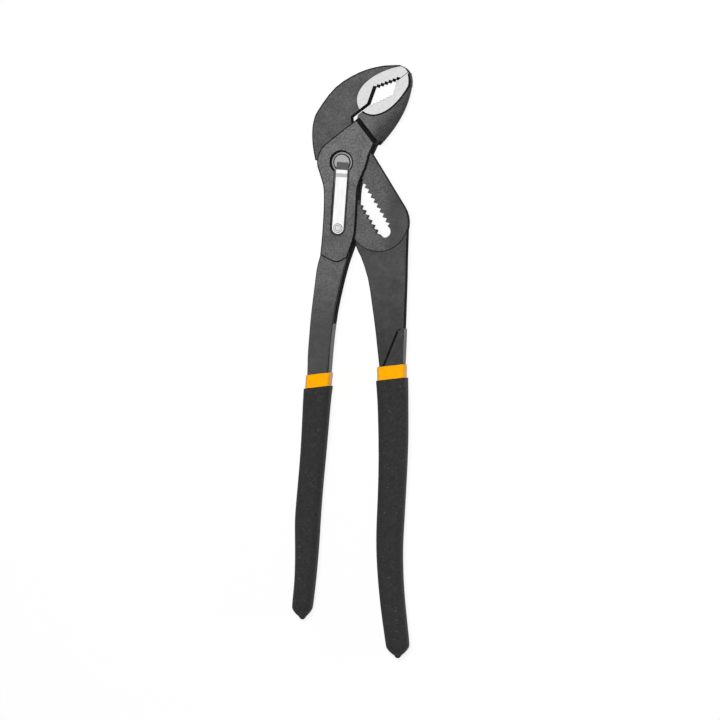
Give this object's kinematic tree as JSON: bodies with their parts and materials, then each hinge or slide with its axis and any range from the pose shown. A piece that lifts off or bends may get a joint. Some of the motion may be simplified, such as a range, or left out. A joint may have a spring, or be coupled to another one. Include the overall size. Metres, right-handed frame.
{
  "type": "water pump pliers",
  "caption": "Slip-joint pliers with a box joint, a toothed rack slot, a sprung push-pin lock, serrated jaws set at an angle and dipped two-colour grips.",
  "frame": {"origin": "on the pivot axis, in the plane of the rear face that the tool lies on", "axes": "+Y towards the jaws along the handles, +Z out of the front face with the spring, +X towards the rack arm's handle"},
  "size_m": [0.0613, 0.3004, 0.015],
  "materials": {
    "black_steel": "black phosphated forged steel, jaw pads ground bright",
    "turned_steel": "turned, bright",
    "spring_steel": "nickel plated, bright",
    "orange_dip": "smooth dipped plastic",
    "black_dip": "matt textured dipped plastic"
  },
  "bodies": {
    "box_arm": {"box_arm": "black_steel", "leaf_spring": "spring_steel", "spring_rivet": "spring_steel", "left_undercoat": "orange_dip", "left_grip": "black_dip"},
    "pivot_bush": {"pivot_bush": "turned_steel"},
    "lock_pin": {"lock_pin": "turned_steel"},
    "rack_arm": {"rack_arm": "black_steel", "right_undercoat": "orange_dip", "right_grip": "black_dip"}
  },
  "joints": [
    {"name": "handle_swing", "type": "hinge", "parent": "box_arm", "child": "pivot_bush", "pos_m": [0, 0, 0], "axis": [0, 0, 1], "range_deg": [0, 35]},
    {"name": "jaw_adjust", "type": "slide", "parent": "pivot_bush", "child": "rack_arm", "axis": [-0.5225, 0.8526, 0], "range_m": [0, 0.0348]},
    {"name": "release_press", "type": "slide", "parent": "pivot_bush", "child": "lock_pin", "axis": [0, 0, 1], "range_m": [0, 0.0032], "stiffness_N_per_m": 4200, "deforming": ["leaf_spring"]}
  ]
}
